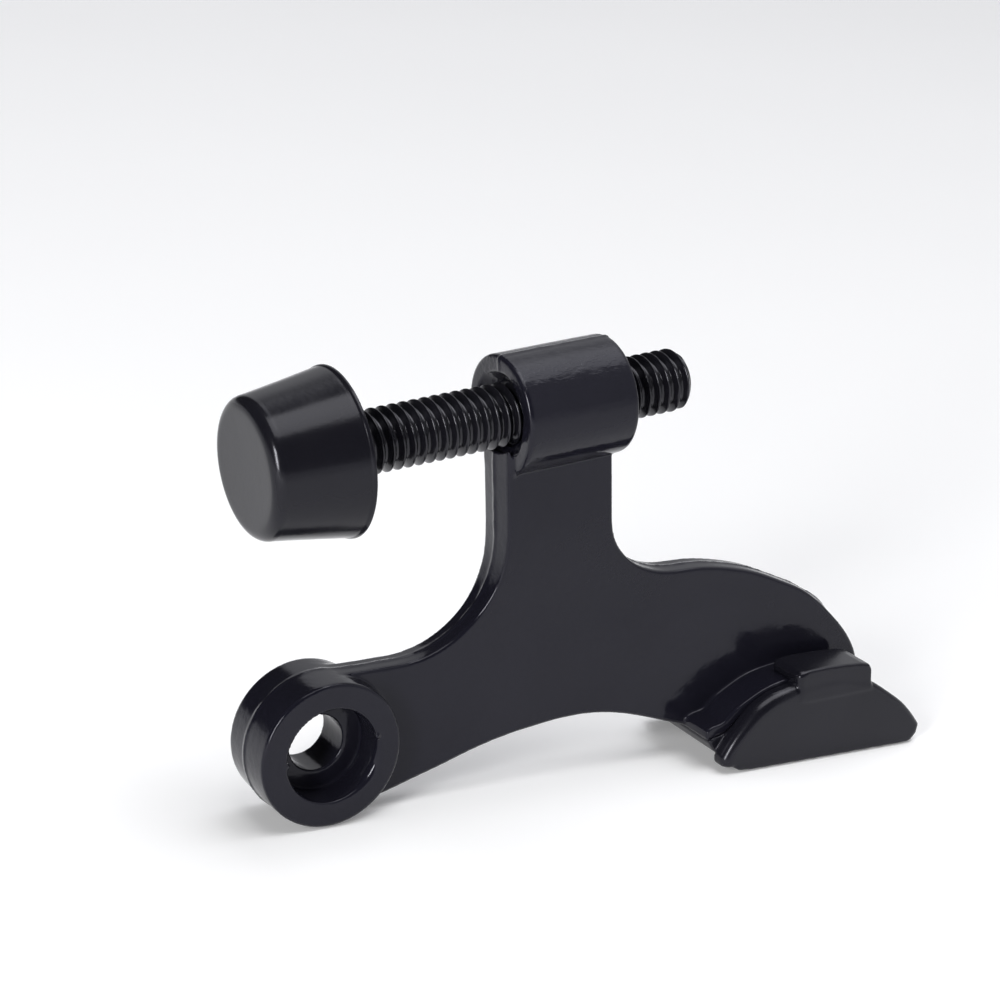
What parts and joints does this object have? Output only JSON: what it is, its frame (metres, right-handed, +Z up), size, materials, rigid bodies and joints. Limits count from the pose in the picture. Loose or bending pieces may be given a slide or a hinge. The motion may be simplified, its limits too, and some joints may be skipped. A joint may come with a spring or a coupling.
{
  "type": "hinge-pin door stop",
  "caption": "Hinge-pin door stop: cast arm with a pin eye and a curved foot on a rubber pad, and a threaded stud carrying a rubber tip.",
  "frame": {"origin": "axis of the hinge-pin bore at the casting's middle plane", "axes": "+Y along the pin bore, away from its counterbore; +Z up from the plane that the eye and the foot pad stand on; +X from the eye towards the foot. The stud's axis is tilted 5.7 degrees up from +X."},
  "size_m": [0.0971, 0.0206, 0.0567],
  "materials": {
    "black_enamel": "glossy black enamel over a zinc casting",
    "black_stud": "glossy black coated steel thread",
    "tip_rubber": "semi-matte moulded black rubber",
    "pad_rubber": "smooth moulded black rubber"
  },
  "bodies": {
    "body": {"casting": "black_enamel", "foot_pad": "pad_rubber"},
    "tip": {"rubber_tip": "tip_rubber"},
    "stud": {"threaded_stud": "black_stud"}
  },
  "joints": [
    {"name": "stud_travel", "type": "slide", "parent": "body", "child": "tip", "axis": [0.9951, 0, 0.0993], "range_m": [-0.00988, 0.01976]},
    {"name": "stud_spin", "type": "hinge", "parent": "tip", "child": "stud", "pos_m": [0.02625, 0, 0.03908], "axis": [0.9951, 0, 0.0993], "range_deg": [-2520, 5040]}
  ],
  "couplings": [
    {"joint": "stud_spin", "follows": "stud_travel", "rad_per_m": 4452.7}
  ]
}
